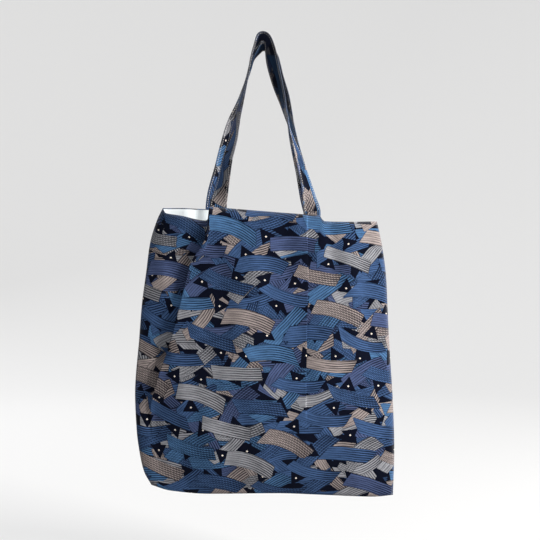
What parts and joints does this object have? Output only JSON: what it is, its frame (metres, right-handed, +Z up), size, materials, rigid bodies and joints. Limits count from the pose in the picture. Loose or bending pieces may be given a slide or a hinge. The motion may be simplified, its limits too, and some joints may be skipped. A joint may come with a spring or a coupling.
{
  "type": "tote bag",
  "caption": "Slack, lined cotton tote bag with long flat shoulder straps, an open mouth and stitched side and bottom seams.",
  "frame": {"origin": "the hang point, on the rest that the bends of both straps lie over", "axes": "+X to the right along the mouth, -Y out of the bag's front, +Z up"},
  "size_m": [0.3831, 0.0541, 0.6813],
  "materials": {
    "printed_cotton": "matt plain weave, printed",
    "white_lining": "matt plain weave",
    "pale_thread": "spun thread",
    "dark_thread": "spun thread"
  },
  "bodies": {
    "back_half": {"outer_back_panel": "printed_cotton", "lining_back_panel": "white_lining", "back_strap_left_sewn_end": "printed_cotton", "back_strap_right_sewn_end": "printed_cotton", "mouth_stitching_back": "dark_thread", "side_seam_left": "dark_thread", "side_seam_right": "dark_thread", "bottom_seam": "dark_thread"},
    "front_half": {"outer_front_panel": "printed_cotton", "lining_front_panel": "white_lining", "front_strap_left_sewn_end": "printed_cotton", "front_strap_right_sewn_end": "printed_cotton", "mouth_stitching_front": "dark_thread"},
    "front_handle": {"front_strap": "printed_cotton", "front_strap_stitching_far": "pale_thread", "front_strap_stitching_near": "pale_thread"},
    "back_handle": {"back_strap": "printed_cotton", "back_strap_stitching_far": "pale_thread", "back_strap_stitching_near": "pale_thread"}
  },
  "joints": [
    {"name": "mouth_opening", "type": "hinge", "parent": "back_half", "child": "front_half", "pos_m": [0.043, 0, -0.6703], "axis": [0.9998, 0, -0.0174], "range_deg": [0, 8]},
    {"name": "front_strap_swing", "type": "hinge", "parent": "front_half", "child": "front_handle", "pos_m": [0.0039, -0.0196, -0.252], "axis": [0.9969, 0, -0.0793], "range_deg": [0, 160]},
    {"name": "back_strap_swing", "type": "hinge", "parent": "back_half", "child": "back_handle", "pos_m": [0.0004, 0.0179, -0.2521], "axis": [-0.999, 0, 0.044], "range_deg": [0, 160]}
  ]
}
